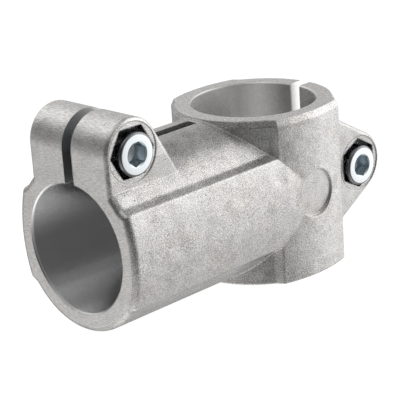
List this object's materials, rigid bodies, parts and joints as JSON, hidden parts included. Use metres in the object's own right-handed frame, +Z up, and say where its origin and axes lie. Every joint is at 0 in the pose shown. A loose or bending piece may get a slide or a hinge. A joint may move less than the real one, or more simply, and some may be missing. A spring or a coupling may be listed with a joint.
{
  "type": "angle clamp",
  "caption": "Cast aluminium angle clamp: a split socket and a split collar, each closed by a socket-head screw, grip round tubes at a right angle.",
  "frame": {"origin": "where the axis of the socket's bore crosses the axis of the collar's bore", "axes": "+X along the socket's bore, away from its mouth; +Z up along the collar's bore; the screw heads face -Y"},
  "size_m": [0.0901, 0.0388, 0.0507],
  "materials": {
    "casting": "blasted die casting with machined bores and faces",
    "screw": "bright zinc plate",
    "nut": "bright zinc plate"
  },
  "bodies": {
    "clamp": {"clamp_body": "casting", "front_nut": "nut", "rear_nut": "nut"},
    "front_screw": {"front_screw": "screw"},
    "rear_screw": {"rear_screw": "screw"}
  },
  "joints": [
    {"name": "front_screw_turn", "type": "hinge", "parent": "clamp", "child": "front_screw", "pos_m": [-0.05113, 0, 0.02234], "axis": [0, 1, 0], "continuous": true},
    {"name": "rear_screw_turn", "type": "hinge", "parent": "clamp", "child": "rear_screw", "pos_m": [0.02292, 0, -0.00041], "axis": [0, 1, 0], "continuous": true}
  ]
}
